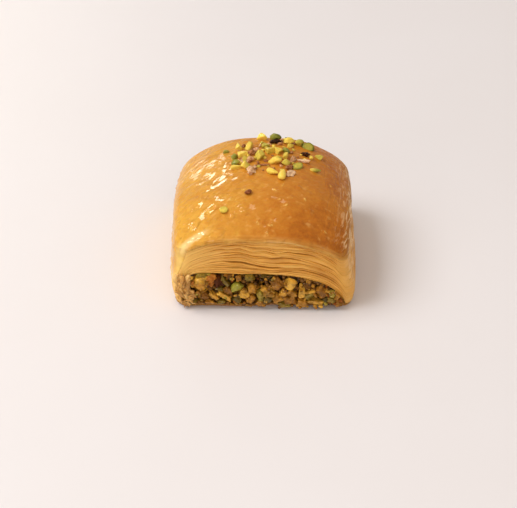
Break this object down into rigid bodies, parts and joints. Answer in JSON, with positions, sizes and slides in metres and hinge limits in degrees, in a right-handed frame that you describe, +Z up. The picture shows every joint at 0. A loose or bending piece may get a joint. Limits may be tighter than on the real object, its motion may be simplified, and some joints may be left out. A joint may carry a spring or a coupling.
{
  "type": "baklava piece",
  "caption": "Square piece of baklava: a glossy domed stack of filo sheets folded over a chopped nut filling, with chopped pistachio on top.",
  "frame": {"origin": "middle of the face that the piece rests on", "axes": "+X across the cut front face to the right, +Y from the front face to the back, +Z up"},
  "size_m": [0.058, 0.0549, 0.0337],
  "materials": {
    "pastry": "baked filo with a wet sugar syrup glaze, golden yellow to amber brown, with matt sheet edges on the cut faces",
    "filling": "moist chopped walnut and pistachio, tan, brown and green, satin with syrup"
  },
  "bodies": {
    "root": {"pastry": "pastry", "filling": "filling"}
  },
  "joints": []
}
